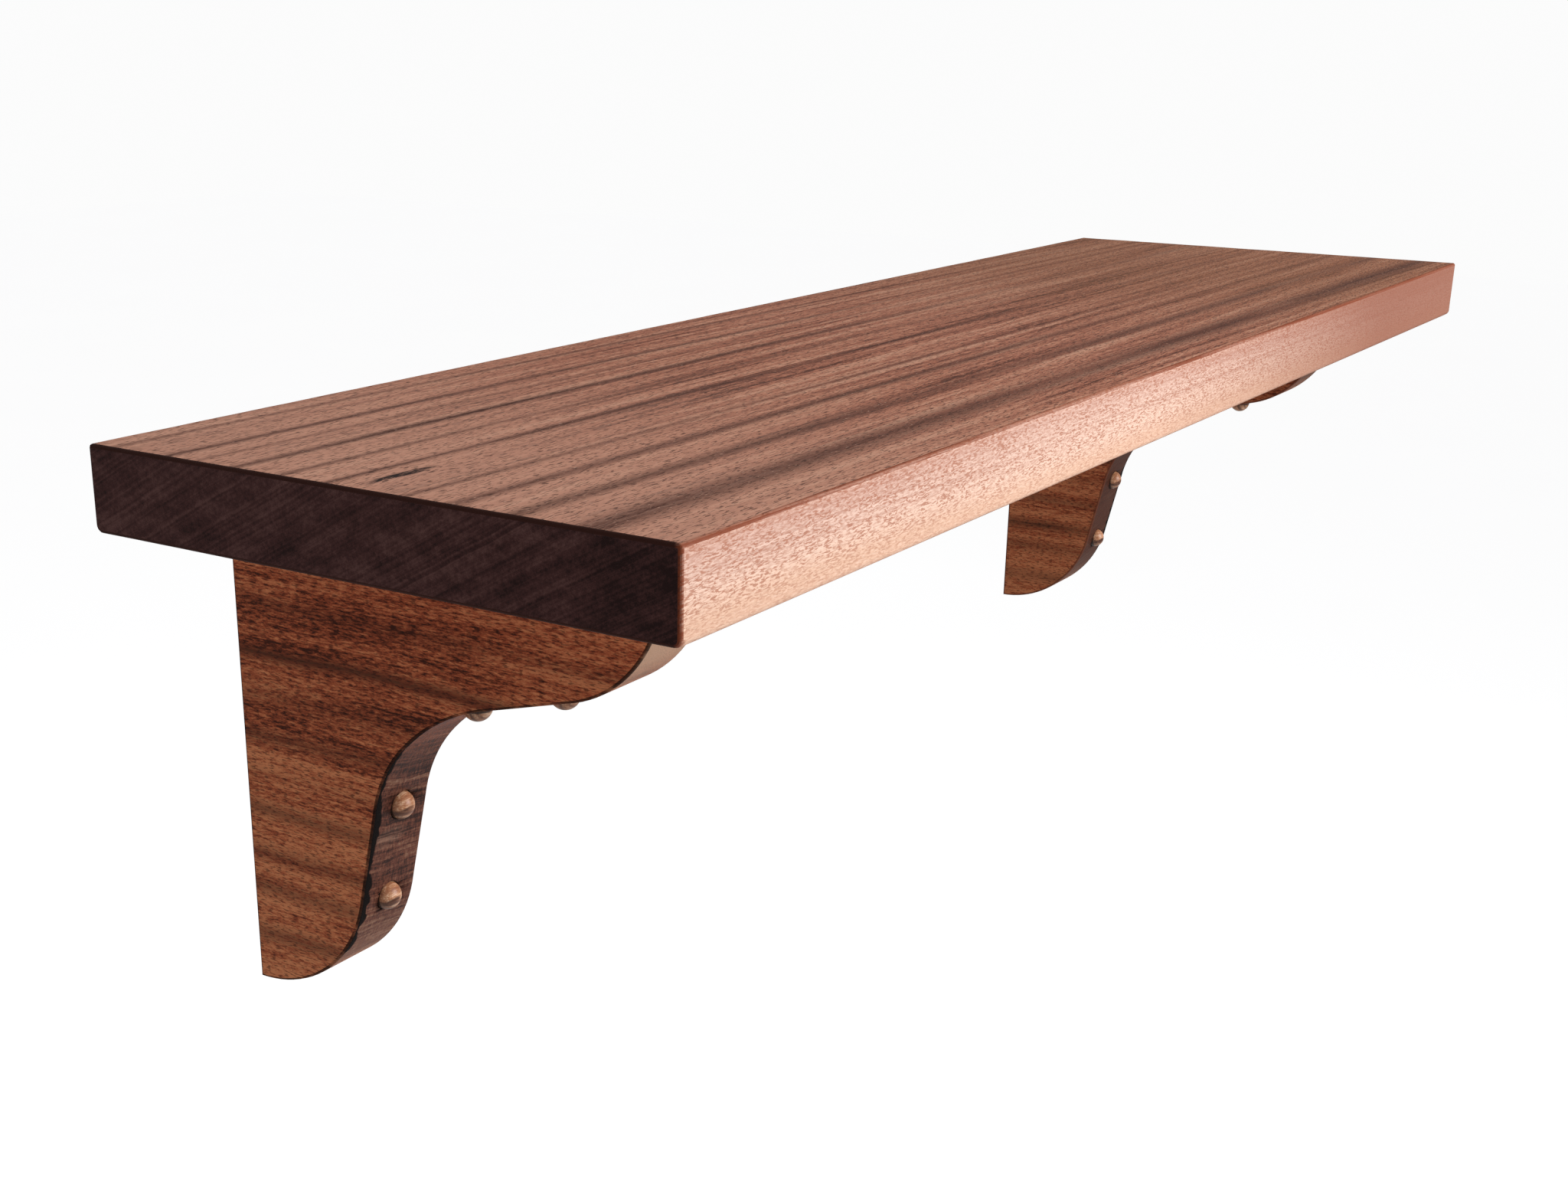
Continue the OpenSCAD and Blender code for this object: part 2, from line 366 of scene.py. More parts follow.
    # Sanded arrises: rubbed to orange at the front, soaked dark round the ends
    eased = make("ShaderNodeAttribute", output="Fac", attribute_name="eased")
    upper = make(RANGE, height, 0.25, 0.10, **SMOOTH)
    by_end = make(RANGE, make(MATH, x, operation="ABSOLUTE"),
                  BOARD_HIGH.x / MM - 2.5, BOARD_HIGH.x / MM - 1.0, **SMOOTH)
    by_front = make(RANGE, y, BOARD_LOW.y / MM + 2.5, BOARD_LOW.y / MM + 1.0, **SMOOTH)
    rubbed = make(MATH, make(MATH, eased, by_front, **TIMES),
                  make(MATH, upper, by_end, operation="MAXIMUM"), **TIMES)
    rubbed = make(MATH, rubbed, make(RANGE, line, 0.35, 0.6, 0.45, 0.95, **SMOOTH), **TIMES)
    soaked = make(MATH, make(MATH, eased, by_end, **TIMES),
                  make(MATH, 1.0, by_front, **LESS), **TIMES)
    for amount, stain in ((soaked, "#3C1E17"), (rubbed, "#7E3D24")):
        base = make(MIX, amount, inputs={UNDER: base, ON_TOP: linear(stain)}, **COLOURS)

    roughness = make(RANGE, fibre, 0.2, 0.8, 0.50, 0.64, **SMOOTH)
    relief = make(MATH, pores, -0.7, make(MATH, fibre, 0.5, **TIMES), **TIMES_PLUS)
    bump = make("ShaderNodeBump", inputs={
        "Strength": 0.5, "Distance": 0.2 * MM, "Height": relief})
    finish_material(tree, base, roughness, bump, IOR=1.5, Specular_IOR_Level=0.09)
    return material


def bracket_sapele(colours):
    """Sapele with its grain out from the wall, bandsawn, sanded and oiled: warm face with
    dark streaks, grey-brown end grain on the leg's front, scorched along its outer arris."""
    material, tree = start_material("sapele_bracket_oiled")
    make = partial(add, tree)
    middle_mm = -(BRACKET_LOW.x + BRACKET_HIGH.x) / 2 / MM
    half_mm = (BRACKET_HIGH.x - BRACKET_LOW.x) / 2 / MM
    object_place = make("ShaderNodeTexCoord", output="Object")
    normal = make("ShaderNodeNewGeometry", output="True Normal")
    mm = make(VECTOR, object_place, inputs={"Scale": 1 / MM}, operation="SCALE")
    x, y, z = (make(SPLIT, mm, output=axis) for axis in range(3))
    nx, ny = (make(SPLIT, normal, output=axis) for axis in range(2))
    to_end = make(RANGE, make(MATH, ny, operation="ABSOLUTE"), 0.30, 0.90, **SMOOTH)
    to_front = make(RANGE, ny, 0.0, -0.4)
    to_side = make(RANGE, make(MATH, nx, operation="ABSOLUTE"), 0.5, 0.9, **SMOOTH)
    outward = make(MATH, make(MATH, x, operation="ABSOLUTE"), middle_mm, **LESS)
    drop = make(MATH, BRACKET_HIGH.z / MM, z, **LESS)

    wander, ripple = (
        make(NOISE, make(VECTOR, mm, size, **OVER), None, 1.0, 1.5)
        for size in ((60.0, 190.0, 50.0), (8.0, 40.0, 10.0)))
    stray = make(MATH, wander, BEND, make(MATH, ripple, RIPPLE, **TIMES), **TIMES_PLUS)
    stray = make(MATH, outward, 0.16, stray, **TIMES_PLUS)
    rings = make(MATH, drop, make(MATH, stray, (BEND + RIPPLE) / 2, **LESS))
    ring_place = make(JOIN, x, y, rings)

    # Vessels are about 0.15 mm wide, drawn 0.5 mm so that they show
    broad, ribbon, line, fibre, patchy, vessel, end_line, tick, chip = (
        make(NOISE, make(VECTOR, place, size, **OVER), None, 1.0, detail, rough)
        for place, size, detail, rough in (
            (ring_place, (120.0, 240.0, 22.0), 2.0, 0.5),
            (ring_place, (40.0, 110.0, 5.0), 2.0, 0.6),
            (ring_place, (20.0, 60.0, 1.5), 3.0, 0.65),
            (mm, (0.9, 4.0, 0.8), 3.0, 0.8),
            (ring_place, (60.0, 90.0, 14.0), 2.0, 0.5),
            (mm, (0.5, 2.6, 0.5), 1.0, 0.5),
            (ring_place, (30.0, 300.0, 1.2), 3.0, 0.7),
            (mm, (0.8, 3.0, 2.4), 2.0, 0.6),
            (mm, (30.0, 7.0, 7.0), 2.0, 0.55)))
    pores = make(RANGE, vessel, 0.53, 0.65, **SMOOTH)

    # Painted light: the face is lighter lower down, where the board shades it less, and
    # lighter out along the arm
    tone = make(MATH, make(RANGE, drop, 5.0, 140.0, -0.025, 0.08, **SMOOTH),
                make(RANGE, y, -80.0, -140.0, 0.0, 0.085, **SMOOTH))
    tone = make(MATH, broad, 0.2, tone, **TIMES_PLUS)
    for part, weight in ((ribbon, 0.36), (line, 0.34), (fibre, 0.68)):
        tone = make(MATH, part, weight, tone, **TIMES_PLUS)
    face = make(RAMP, tone, stops=[
        (0.67, linear("#4A2012")), (0.77, tuple(colours.bracket)),
        (0.84, linear("#C5714A")), (0.92, tuple(colours.bracket_light))])
    streaks = [(4, 3, 0.5), (33, 4, 0.35), (50, 3.6, 0.9), (64, 6, 0.35),
               (77, 4, 1.0), (90, 3, 0.3), (103, 4, 0.7), (118, 4.6, 1.0), (131, 5, 0.6),
               (148, 5, 0.7)]
    span = 170.0
    marks = make(RAMP, make(MATH, rings, span, **OVER), stops=streak_stops(streaks, span))
    broken = make(RANGE, patchy, 0.30, 0.55, 0.5, 1.0, **SMOOTH)
    ragged = make(RANGE, make(MATH, line, fibre), 0.75, 1.2, 0.55, 1.15, **SMOOTH)
    dark = make(MATH, make(MATH, marks, broken, **TIMES), ragged, **TIMES)
    to_right = make(RANGE, x, 200.0, 280.0, 0.0, 0.2)
    for amount, stain in (
            (to_right, linear("#5A2A18")),
            (make(MATH, dark, 0.92, **TIMES), tuple(colours.bracket_dark)),
            (make(MATH, pores, 0.6, **TIMES), linear("#34170E"))):
        face = make(MIX, amount, inputs={UNDER: face, ON_TOP: stain}, **COLOURS)

    # End grain on the leg's front: dark, with fine level bands, paler towards the foot
    end_tone = make(RANGE, drop, 95.0, 160.0, -0.018, 0.06, **SMOOTH)
    for part, weight in ((fibre, 0.25), (end_line, 0.50), (tick, 0.30), (broad, 0.25),
                         (dark, -0.06)):
        end_tone = make(MATH, part, weight, end_tone, **TIMES_PLUS)
    end = make(RAMP, end_tone, stops=[
        (0.54, linear("#2A1712")), (0.65, tuple(colours.bracket_end)),
        (0.74, linear("#73513F")), (0.82, linear("#8E7060"))])
    # A paler worn patch below the upper plug
    patch_x = make(MATH, make(MATH, outward, 4.0, **LESS), 9.0, **OVER)
    patch_z = make(MATH, make(MATH, drop, 103.5, **LESS), 3.6, **OVER)
    patch = make(MATH, make(MATH, patch_x, patch_x, **TIMES),
                 make(MATH, patch_z, patch_z, **TIMES))
    patch = make(MATH, make(RANGE, patch, 0.0, 1.3, 0.3, 0.0, **SMOOTH), to_front, **TIMES)
    patch = make(MATH, patch,
                 make(RANGE, end_line, 0.42, 0.58, 0.15, 1.0, **SMOOTH), **TIMES)
    # The patch, the paler tip of the arm, and the darker front of the right bracket
    for amount, stain in (
            (patch, "#9A7B68"),
            (make(RANGE, y, -132.0, -158.0, 0.0, 0.85, **SMOOTH), "#B9947A"),
            (make(RANGE, x, 200.0, 280.0, 0.0, 0.85), "#3B1D12")):
        end = make(MIX, amount, inputs={UNDER: end, ON_TOP: linear(stain)}, **COLOURS)
    base = make(MIX, to_end, inputs={UNDER: face, ON_TOP: end}, **COLOURS)

    # Scorched outer arris of the leg, widest at mid height, broken and ragged
    reach = make(MATH, make(RANGE, drop, 40.0, 100.0, **SMOOTH),
                 make(RANGE, drop, 166.0, 128.0, **SMOOTH), **TIMES)
    width = make(MATH, reach, make(RANGE, chip, 0.3, 0.65, 1.2, 3.6, **SMOOTH), **TIMES)
    to_arris = make(MATH, half_mm, outward, **LESS)
    scorch = make(RANGE, make(MATH, to_arris, width, **LESS), -0.4, 0.4, 1.0, 0.0,
                  **SMOOTH)
    scorch = make(MATH, scorch, make(MATH, 1.0, to_side, **LESS), **TIMES)
    scorch = make(MATH, scorch, to_front, **TIMES)
    eased = make("ShaderNodeAttribute", output="Fac", attribute_name="eased")
    painted_shade_bore = make("ShaderNodeAttribute", output="Fac", attribute_name="painted_shade_bore")
    inner_rub = make(MATH, eased, make(RANGE, outward, 2.0, -2.0, 0.0, 0.8), **TIMES)
    thin = make(MATH, eased, make(RANGE, chip, 0.3, 0.55, 0.35, 0.85, **SMOOTH), **TIMES)
    thin = make(MATH, thin, make(RANGE, outward, -2.0, 2.0), **TIMES)
    scorch = make(MATH, scorch, thin, operation="MAXIMUM")
    # The walls of the sunk holes are painted near black: painted shade inside the holes
    for amount, stain in ((inner_rub, "#5E3222"), (scorch, "#0B0605"), (painted_shade_bore, "#120A08")):
        base = make(MIX, amount, inputs={UNDER: base, ON_TOP: linear(stain)}, **COLOURS)

    roughness = make(RANGE, fibre, 0.2, 0.8, 0.42, 0.6, **SMOOTH)
    relief = make(MATH, pores, -0.7, make(MATH, fibre, 0.5, **TIMES), **TIMES_PLUS)
    bump = make("ShaderNodeBump", inputs={
        "Strength": 0.5, "Distance": 0.2 * MM, "Height": relief})
    # Charred and sunk wood is duller than the oiled faces
    roughness = make(MATH, make(MATH, scorch, painted_shade_bore, operation="MAXIMUM"), 0.35, roughness,
                     **TIMES_PLUS)
    finish_material(tree, base, roughness, bump, IOR=1.5, Specular_IOR_Level=0.1)
    return material


def plug_beech(colours):
    """Oiled beech, turned domes with the grain across them: tan, with a dark blotch and thin
    streaks on the dome's lower left that are partly grain and partly painted shade, a
    painted shadow in a thin dark line round the rim, and a soft satin highlight."""
    material, tree = start_material("beech_plug_oiled")
    make = partial(add, tree)
    place = make("ShaderNodeAttribute", output="Vector", attribute_name="plug_place")
    seed = make("ShaderNodeAttribute", output="Fac", attribute_name="plug_seed")
    mm = make(VECTOR, place, inputs={"Scale": 1 / MM}, operation="SCALE")
    x, y, z = (make(SPLIT, mm, output=axis) for axis in range(3))
    own = make(JOIN, make(MATH, seed, 90.0, x, **TIMES_PLUS), y, z)
    # Fibres are finer than 0.1 mm, drawn 0.4 mm so that they show
    bend, fibre, soft = (
        make(NOISE, make(VECTOR, own, size, **OVER), None, 1.0, detail, 0.6)
        for size, detail in (((9.0, 4.0, 4.0), 1.0), ((5.0, 0.4, 0.4), 3.0),
                             ((9.0, 1.6, 1.6), 2.0)))
    bow = make(MATH, make(MATH, x, x, **TIMES), 0.05, make(MATH, z, 0.5, y, **TIMES_PLUS),
               **TIMES_PLUS)
    rings = make(MATH, bend, 2.6, bow, **TIMES_PLUS)
    rings = make(MATH, seed, 1.2, rings, **TIMES_PLUS)
    band = make(RAMP, make(MATH, make(MATH, rings, 5.0), 12.0, **OVER), stops=[
        (0.0, 0.6), (0.30, 0.45), (0.38, 0.9), (0.45, 0.3), (0.54, 0.35), (0.61, 1.0),
        (0.67, 0.1), (0.80, 0.0), (0.87, 0.3), (0.94, 0.0)])
    tone = make(MATH, fibre, 0.45, make(MATH, soft, 0.55, **TIMES), **TIMES_PLUS)
    base = make(RAMP, tone, stops=[
        (0.36, linear("#8E5A42")), (0.5, tuple(colours.plug)), (0.64, linear("#E0B898"))])
    # Painted shade on the dome's lower left, away from the soft box: a dark blotch and
    # streaks there, partly the beech's own grain, and a painted shadow in a thin dark line
    # round the rim, where the hole's edge would shade the dome
    slant = make(MATH, x, -0.3, y, **TIMES_PLUS)
    blotch_x = make(MATH, make(MATH, x, 1.7), 3.4, **OVER)
    blotch_y = make(MATH, make(MATH, slant, 0.5), 1.5, **OVER)
    blotch_and_shade = make(MATH, make(MATH, blotch_x, blotch_x, **TIMES),
                  make(MATH, blotch_y, blotch_y, **TIMES))
    blotch_and_shade = make(MATH, make(RANGE, blotch_and_shade, 0.3, 1.2, 1.0, 0.0, **SMOOTH),
                  make(RANGE, soft, 0.35, 0.6, 0.5, 1.0, **SMOOTH), **TIMES)
    # Painted shade: the streaks show only towards the lower left of the dome
    low = make(RANGE, slant, 1.6, 0.2, 0.15, 0.85, **SMOOTH)
    # Painted shadow round the foot of the dome
    rim = make(RANGE, z, 0.7, 0.15, 0.0, 0.9, **SMOOTH)
    for amount, stain in (
            (make(MATH, band, low, **TIMES), tuple(colours.plug_dark)),
            (blotch_and_shade, linear("#4A2616")), (rim, linear("#1E100B"))):
        base = make(MIX, amount, inputs={UNDER: base, ON_TOP: stain}, **COLOURS)
    roughness = make(RANGE, fibre, 0.2, 0.8, 0.30, 0.44, **SMOOTH)
    bump = make("ShaderNodeBump", inputs={
        "Strength": 0.3, "Distance": 0.08 * MM, "Height": fibre})
    finish_material(tree, base, roughness, bump, IOR=1.5, Specular_IOR_Level=0.35)
    return material


def zinc_steel(colours):
    """Zinc plated steel, rolled thread: bright grey metal, a little uneven and dulled."""
    material, tree = start_material("zinc_plated_steel")
    make = partial(add, tree)
    object_place = make("ShaderNodeTexCoord", output="Object")
    mm = make(VECTOR, object_place, inputs={"Scale": 1 / MM}, operation="SCALE")
    # The plating's mottle, drawn coarser than it is so that it shows
    rolled = make(NOISE, make(VECTOR, mm, (0.8, 0.8, 0.25), **OVER), None, 1.0, 3.0, 0.6)
    base = make(RAMP, rolled, stops=[(0.3, linear("#9A9B9C")), (0.7, tuple(colours.steel))])
    roughness = make(RANGE, rolled, 0.3, 0.7, 0.28, 0.45, **SMOOTH)
    bump = make("ShaderNodeBump", inputs={
        "Strength": 0.2, "Distance": 0.03 * MM, "Height": rolled})
    finish_material(tree, base, roughness, bump, Metallic=1.0)
    return material


# --- pieces --------------------------------------------------------------------------


def show(name, mesh, slot, *nodes):
    """Links a finished mesh as a piece that stands for CAD nodes."""
    piece = bpy.data.objects.new(name, mesh)
    bpy.context.scene.collection.objects.link(piece)
    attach(piece, "root")
    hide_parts(*nodes)


def coat(mesh, material):
    """Gives a mesh one material in place of those it had."""
    mesh.materials.clear()
    mesh.materials.append(material)


def merged(node):
    """A copy of a CAD node's mesh with its loose triangles joined into whole faces."""
    shape = bmesh.new()
    shape.from_mesh(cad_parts[node].data)
    bmesh.ops.remove_doubles(shape, verts=shape.verts, dist=JOIN_WITHIN)
    bmesh.ops.dissolve_limit(
        shape, angle_limit=FLAT_TURN, verts=shape.verts, edges=shape.edges,
        use_dissolve_boundaries=False)
    return shape


def ease(shape, edges, radius, segments=3):
    """Rounds the edges and marks the new faces in the layer that the materials read."""
    layer = shape.faces.layers.float["eased"]
    made = bmesh.ops.bevel(
        shape, geom=edges, offset=radius, offset_type="OFFSET", segments=segments,
        profile=0.5, affect="EDGES", clamp_overlap=False)
    for face in made["faces"]:
        face[layer] = 1.0
    return made["verts"]


def settle(name, shape, cutters=()):
    """Turns the worked shape into a plain mesh, cut by the cutters, with even normals."""
    raw = bpy.data.meshes.new(name + "_raw")
    shape.to_mesh(raw)
    shape.free()
    raw.shade_smooth()
    raw.set_sharp_from_angle(angle=SHARP_TURN)
    holder = bpy.data.objects.new(name + "_raw", raw)
    bpy.context.scene.collection.objects.link(holder)
    for cutter in cutters:
        cut = holder.modifiers.new("Screw hole", "BOOLEAN")
        cut.object = cutter
        cut.operation = "DIFFERENCE"
        cut.solver = "EXACT"
    even = holder.modifiers.new("Even normals", "WEIGHTED_NORMAL")
    even.keep_sharp = True
    graph = bpy.context.evaluated_depsgraph_get()
    mesh = bpy.data.meshes.new_from_object(holder.evaluated_get(graph))
    mesh.name = name
    bpy.data.objects.remove(holder)
    bpy.data.meshes.remove(raw)
    return mesh


def stray_by_hand(verts, sizes):
    """Pulls the board's eased edges in by an uneven hair, as sanding by hand does."""
    centre = (BOARD_LOW + BOARD_HIGH) / 2
    half = (BOARD_HIGH - BOARD_LOW) / 2
    for vert in verts:
        inward = centre - vert.co
        along = noise.noise(vert.co * 60) + 0.5 * noise.noise(vert.co * 230)
        pull = 0.5 * sizes.hand_wander * max(0.0, 0.5 + along)
        for axis in (1, 2):
            if abs(half[axis] - abs(inward[axis])) < 0.9 * sizes.board_ease:
                vert.co[axis] += math.copysign(pull, inward[axis])


def screw_cutters():
    """Copies of the screws that cut the holes they bite in the board."""
    cutters = []
    for node in SCREWS:
        mesh = bpy.data.meshes.new(node + "_cutter")
        shape = merged(node)
        shape.to_mesh(mesh)
        shape.free()
        cutters.append(bpy.data.objects.new(node + "_cutter", mesh))
        bpy.context.scene.collection.objects.link(cutters[-1])
    return cutters


def off_axis(point, middle, axis):
    """Distance of a point from the line through middle along axis."""
    away = point - middle
    return (away - away.dot(axis) * axis).length


class SHELF_OT_board(bpy.types.Operator):
    """Make the board, with hand-eased edges and the holes its screws bite"""

    bl_idname = "shelf.board"
    bl_label = "Board"

    def execute(self, context):
        sizes = context.scene.shelf_sizes
        shape = bmesh.new()
        bmesh.ops.create_cube(shape, size=1.0)
        for vert in shape.verts:
            vert.co = [BOARD_LOW[i] if vert.co[i] < 0 else BOARD_HIGH[i] for i in range(3)]
        for axis in range(3):
            long_edges = [
                edge for edge in shape.edges
                if abs((edge.verts[1].co - edge.verts[0].co).normalized()[axis]) > 0.9]
            bmesh.ops.subdivide_edges(
                shape, edges=long_edges, cuts=BOARD_CUTS[axis], use_grid_fill=True)
        # The long lower edges are eased the most, then every edge that is still square
        shape.faces.layers.float.new("eased")
        lower = [edge for edge in shape.edges
                 if abs(edge.verts[0].co.x - edge.verts[1].co.x) > MM
                 and edge.calc_face_angle() > 1.0
                 and edge.verts[0].co.z < (BOARD_LOW.z + BOARD_HIGH.z) / 2]
        ease(shape, lower, sizes.board_under_ease, 5)
        arrises = [edge for edge in shape.edges
                   if len(edge.link_faces) == 2 and edge.calc_face_angle() > 1.0]
        stray_by_hand(ease(shape, arrises, sizes.board_ease), sizes)
        cutters = screw_cutters()
        mesh = settle("shelf_board_oiled", shape, cutters)
        for cutter in cutters:
            bpy.data.objects.remove(cutter)
        coat(mesh, board_sapele(context.scene.shelf_colours))
        show("shelf_board_oiled", mesh, "board_wood", "shelf_board")
        return {"FINISHED"}


class SHELF_OT_brackets(bpy.types.Operator):
    """Make both ogee brackets, with eased arrises round their sawn outline"""

    bl_idname = "shelf.brackets"
    bl_label = "Brackets"

    def execute(self, context):
        sizes = context.scene.shelf_sizes
        wood = bracket_sapele(context.scene.shelf_colours)
        plug_axes = []
        for node in PLUGS:
            low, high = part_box(node)
            axis = Vector((0, 1, 0) if "_leg_" in node else (0, 0, 1))
            plug_axes.append(((low + high) / 2, axis))
        for side in SIDES:
            shape = merged(f"{side}_bracket")
            shape.faces.layers.float.new("eased")
            sunk = shape.faces.layers.float.new("painted_shade_bore")
            # The walls of the sunk holes are marked to take painted shade and a duller
            # finish, and the sawn outline is eased
            for face in shape.faces:
                face[sunk] = float(any(
                    all(off_axis(vert.co, middle, axis) < SUNK_REACH for vert in face.verts)
                    for middle, axis in plug_axes))
            outline = [
                edge for edge in shape.edges if len(edge.link_faces) == 2
                and sum(abs(face.normal.x) > 0.9 for face in edge.link_faces) == 1
                and abs(edge.verts[0].co.x - edge.verts[1].co.x) < 0.01 * MM]
            ease(shape, outline, sizes.bracket_ease)
            mesh = settle(f"{side}_bracket_oiled", shape)
            coat(mesh, wood)
            show(f"{side}_bracket_oiled", mesh, "bracket_wood", f"{side}_bracket")
        return {"FINISHED"}


def plug_tree():
    """Node tree that puts a domed plug on every point, facing along its own vector."""
    tree = bpy.data.node_groups.new("Domed plugs", "GeometryNodeTree")
    outside = tree.interface
    outside.new_socket("Geometry", in_out="INPUT", socket_type="NodeSocketGeometry")
    for name in ("Width", "Dome", "Body"):
        outside.new_socket(name, in_out="INPUT", socket_type="NodeSocketFloat")
    outside.new_socket("Wood", in_out="INPUT", socket_type="NodeSocketMaterial")
    outside.new_socket("Geometry", in_out="OUTPUT", socket_type="NodeSocketGeometry")
    entry = tree.nodes.new("NodeGroupInput")
    points, width_in, dome_in, body_in, wood_in = (entry.outputs[i] for i in range(5))
    make = partial(add, tree)
    radius = make(MATH, width_in, 2.0, **OVER)

    # A blank: a cylinder whose upper end is at the point
    blank = make("GeometryNodeMeshCylinder", inputs={
        "Vertices": 64, "Side Segments": 8, "Fill Segments": 14, "Radius": radius,
        "Depth": body_in})
    top, bottom = blank.node.outputs["Top"], blank.node.outputs["Bottom"]
    place = make("GeometryNodeInputPosition")
    sunk = make(JOIN, 0.0, 0.0, make(MATH, body_in, -0.5, **TIMES))
    lowered = make("GeometryNodeSetPosition", blank, inputs={"Offset": sunk})

    # Its end is turned to the cap of a ball that passes through the rim and the crown
    x, y = (make(SPLIT, place, output=axis) for axis in range(2))
    flat = make(JOIN, x, y)
    reach = make(VECTOR, flat, output="Value", operation="LENGTH")
    outward = make(VECTOR, flat, operation="NORMALIZE")
    squares = make(MATH, radius, radius, make(MATH, dome_in, dome_in, **TIMES), **TIMES_PLUS)
    ball = make(MATH, squares, make(MATH, dome_in, 2.0, **TIMES), **OVER)
    half_turn = make(MATH, 2.0, make(MATH, dome_in, radius, operation="ARCTAN2"), **TIMES)
    angle = make(MATH, make(MATH, reach, radius, **OVER), half_turn, **TIMES)
    out = make(MATH, ball, make(MATH, angle, operation="SINE"), **TIMES)
    rise = make(MATH, ball, make(MATH, angle, operation="COSINE"),
                make(MATH, dome_in, ball, **LESS), **TIMES_PLUS)
    spread = make(VECTOR, outward, inputs={"Scale": out}, operation="SCALE")
    crown = make(VECTOR, spread, make(JOIN, 0.0, 0.0, rise), operation="ADD")
    domed = make("GeometryNodeSetPosition", lowered, top, crown)
    narrowed = make(VECTOR, place, (0.93, 0.93, 1.0), **TIMES)
    tapered = make("GeometryNodeSetPosition", domed, bottom, narrowed)
    placed = make("GeometryNodeStoreNamedAttribute", tapered,
                  inputs={"Name": "plug_place", "Value": place},
                  data_type="FLOAT_VECTOR", domain="POINT")

    facing = make("GeometryNodeInputNamedAttribute", "facing", data_type="FLOAT_VECTOR")
    turned = make("FunctionNodeAlignRotationToVector", inputs={"Vector": facing}, axis="Z")
    many = make("GeometryNodeInstanceOnPoints", inputs={
        "Points": points, "Instance": placed, "Rotation": turned})
    seed = make("FunctionNodeRandomValue", inputs={
        "ID": make("GeometryNodeInputIndex"), "Seed": 7}, output=1, data_type="FLOAT")
    seeded = make("GeometryNodeStoreNamedAttribute", many,
                  inputs={"Name": "plug_seed", "Value": seed},
                  data_type="FLOAT", domain="INSTANCE")
    whole = make("GeometryNodeRealizeInstances", seeded)
    finished = make("GeometryNodeSetMaterial", whole, inputs={"Material": wood_in})
    make("NodeGroupOutput", finished)
    return tree


def baked(name, mesh, tree, values):
    """Runs a node tree on a mesh and gives the plain mesh that comes out."""
    holder = bpy.data.objects.new(name + "_seed", mesh)
    bpy.context.scene.collection.objects.link(holder)
    modifier = holder.modifiers.new(name, "NODES")
    modifier.node_group = tree
    sockets = {item.name: item.identifier for item in tree.interface.items_tree
               if item.in_out == "INPUT"}
    for label, value in values.items():
        modifier[sockets[label]] = value
    graph = bpy.context.evaluated_depsgraph_get()
    result = bpy.data.meshes.new_from_object(holder.evaluated_get(graph))
    result.name = name
    bpy.data.objects.remove(holder)
    return result


class SHELF_OT_plugs(bpy.types.Operator):
    """Make the domed plugs over the sunk screw heads"""

    bl_idname = "shelf.plugs"
    bl_label = "Plugs"

    def execute(self, context):
        sizes = context.scene.shelf_sizes
        rims, facings, bodies = [], [], []
        for node in PLUGS:
            low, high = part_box(node)
            rim = (low + high) / 2
            axis = 1 if "_leg_" in node else 2
            rim[axis] = low[axis] + sizes.plug_dome
            facing = Vector((0, 0, 0))
            facing[axis] = -1.0
            rims.append(rim)
            facings.append(facing)
            bodies.append(high[axis] - rim[axis])
        mesh = bpy.data.meshes.new("plug_places")
        mesh.from_pydata(rims, [], [])
        layer = mesh.attributes.new("facing", "FLOAT_VECTOR", "POINT")
        layer.data.foreach_set("vector", [value for facing in facings for value in facing])
        wood = plug_beech(context.scene.shelf_colours)
        tree = plug_tree()
        result = baked("screw_plugs", mesh, tree, {
            "Width": sizes.plug_width, "Dome": sizes.plug_dome, "Body": bodies[0],
            "Wood": wood})
        result.shade_smooth()
        result.set_sharp_from_angle(angle=SHARP_TURN)
        show("screw_plugs", result, "plug_wood", *PLUGS)
        return {"FINISHED"}


class SHELF_OT_screws(bpy.types.Operator):
    """Give the shelf screws their zinc plated steel"""

    bl_idname = "shelf.screws"
    bl_label = "Screws"

    def execute(self, context):
        steel = zinc_steel(context.scene.shelf_colours)
        for node in SCREWS:
            coat(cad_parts[node].data, steel)
        return {"FINISHED"}


# --- stage and add-on ----------------------------------------------------------------


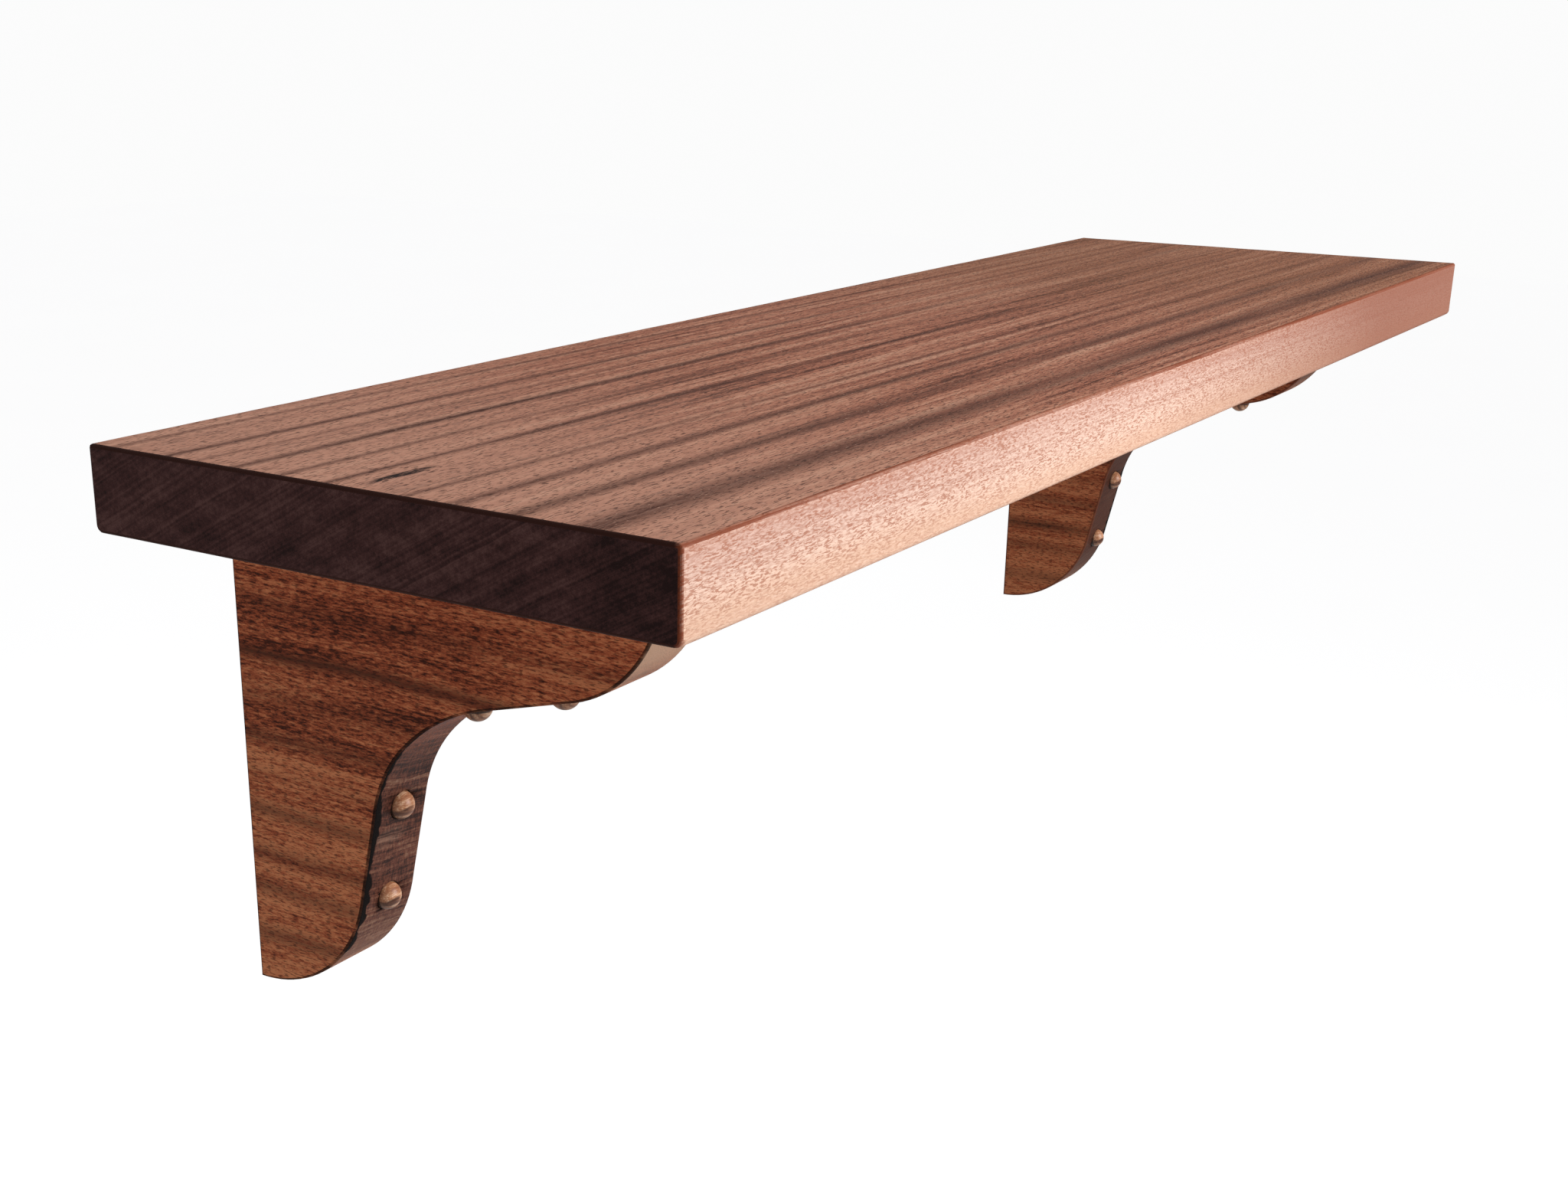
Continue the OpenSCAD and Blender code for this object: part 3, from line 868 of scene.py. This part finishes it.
class SHELF_OT_stage(bpy.types.Operator):
    """Set the floor, the lights and the camera"""

    bl_idname = "shelf.stage"
    bl_label = "Stage"

    def execute(self, context):
        scene = context.scene
        settings = scene.shelf_stage
        scene.view_settings.view_transform = "Standard"

        # Pale matt floor, at the depth below the shelf where a room's floor would be
        shape = bmesh.new()
        bmesh.ops.create_grid(shape, x_segments=4, y_segments=4, size=FLOOR_HALF)
        bmesh.ops.translate(shape, verts=shape.verts, vec=(0, 0, -FLOOR_DROP))
        mesh = bpy.data.meshes.new("floor")
        shape.to_mesh(mesh)
        shape.free()
        material, tree = start_material("floor_paint_matt")
        place = add(tree, "ShaderNodeTexCoord", output="Object")
        cloud = add(tree, "ShaderNodeTexNoise", inputs={"Vector": place, "Scale": 1.5})
        base = add(tree, RAMP, cloud, stops=[
            (0.0, tuple(scene.shelf_colours.floor)), (1.0, linear("#F5F5F6"))])
        seen = add(tree, "ShaderNodeLightPath", output="Is Camera Ray")
        shader = add(tree, "ShaderNodeBsdfPrincipled", inputs={
            "Base Color": base, "Roughness": 0.9, "Emission Color": (1, 1, 1),
            "Emission Strength": add(tree, MATH, seen, settings.floor_glow, **TIMES)})
        add(tree, "ShaderNodeOutputMaterial", shader)
        mesh.materials.append(material)
        floor = bpy.data.objects.new("floor", mesh)
        scene.collection.objects.link(floor)

        # An even white room, which looks brighter to the camera than the light it gives
        world = bpy.data.worlds.new("White room")
        world.use_nodes = True
        background = world.node_tree.nodes["Background"]
        background.inputs["Color"].default_value = (1.0, 1.0, 1.0, 1.0)
        seen = add(world.node_tree, "ShaderNodeLightPath", output="Is Camera Ray")
        level = add(world.node_tree, RANGE, seen, 0.0, 1.0, settings.sky,
                    settings.room_shown)
        world.node_tree.links.new(level, background.inputs["Strength"])
        scene.world = world

        # One wide soft box in front of the shelf, a little to the right and above
        target = (CAD_BOX[0] + CAD_BOX[1]) / 2
        key = bpy.data.lights.new("Soft box", "AREA")
        key.energy, key.size = settings.key, 1.3
        lamp = bpy.data.objects.new("Soft box", key)
        towards = Vector((0.32, -0.86, 0.32)).normalized()
        lamp.location = target + towards * 2.3
        lamp.rotation_euler = towards.to_track_quat("Z", "Y").to_euler()
        scene.collection.objects.link(lamp)

        camera = bpy.data.cameras.new("Camera")
        camera.sensor_width = 36.0
        camera.lens = settings.lens
        camera.shift_x, camera.shift_y = settings.shift
        camera.clip_start, camera.clip_end = 0.02, 60.0
        holder = bpy.data.objects.new("Camera", camera)
        look = Vector((math.sin(settings.heading) * math.cos(settings.dip),
                       math.cos(settings.heading) * math.cos(settings.dip),
                       -math.sin(settings.dip)))
        turn = look.to_track_quat("-Z", "Y").to_matrix() @ Matrix.Rotation(
            settings.roll, 3, "Z")
        holder.matrix_world = Matrix.Translation(settings.camera_place) @ turn.to_4x4()
        scene.collection.objects.link(holder)
        scene.camera = holder
        return {"FINISHED"}


STEPS = (SHELF_OT_board, SHELF_OT_brackets, SHELF_OT_plugs, SHELF_OT_screws,
         SHELF_OT_stage)


class SHELF_PT_panel(bpy.types.Panel):
    """Lists the steps that build the shelf"""

    bl_idname = "SHELF_PT_panel"
    bl_label = "Wall Shelf"
    bl_space_type = "VIEW_3D"
    bl_region_type = "UI"
    bl_category = "Wall Shelf"

    def draw(self, context):
        layout = self.layout
        for group in ("shelf_sizes", "shelf_colours", "shelf_stage"):
            settings = getattr(context.scene, group)
            box = layout.box()
            for name in settings.__annotations__:
                box.prop(settings, name)
        for operator in STEPS:
            layout.operator(operator.bl_idname)


CLASSES = (ShelfSizes, ShelfColours, StageSettings, *STEPS, SHELF_PT_panel)


def register():
    """Adds the classes and hangs the settings on the scene."""
    for one in CLASSES:
        bpy.utils.register_class(one)
    bpy.types.Scene.shelf_sizes = PointerProperty(type=ShelfSizes)
    bpy.types.Scene.shelf_colours = PointerProperty(type=ShelfColours)
    bpy.types.Scene.shelf_stage = PointerProperty(type=StageSettings)


def unregister():
    """Takes away what register added."""
    del bpy.types.Scene.shelf_sizes
    del bpy.types.Scene.shelf_colours
    del bpy.types.Scene.shelf_stage
    for one in reversed(CLASSES):
        bpy.utils.unregister_class(one)


def main():
    """Builds every piece and the stage."""
    register()
    bpy.ops.shelf.board()
    bpy.ops.shelf.brackets()
    bpy.ops.shelf.plugs()
    bpy.ops.shelf.screws()
    bpy.ops.shelf.stage()


if __name__ == "__main__":
    main()
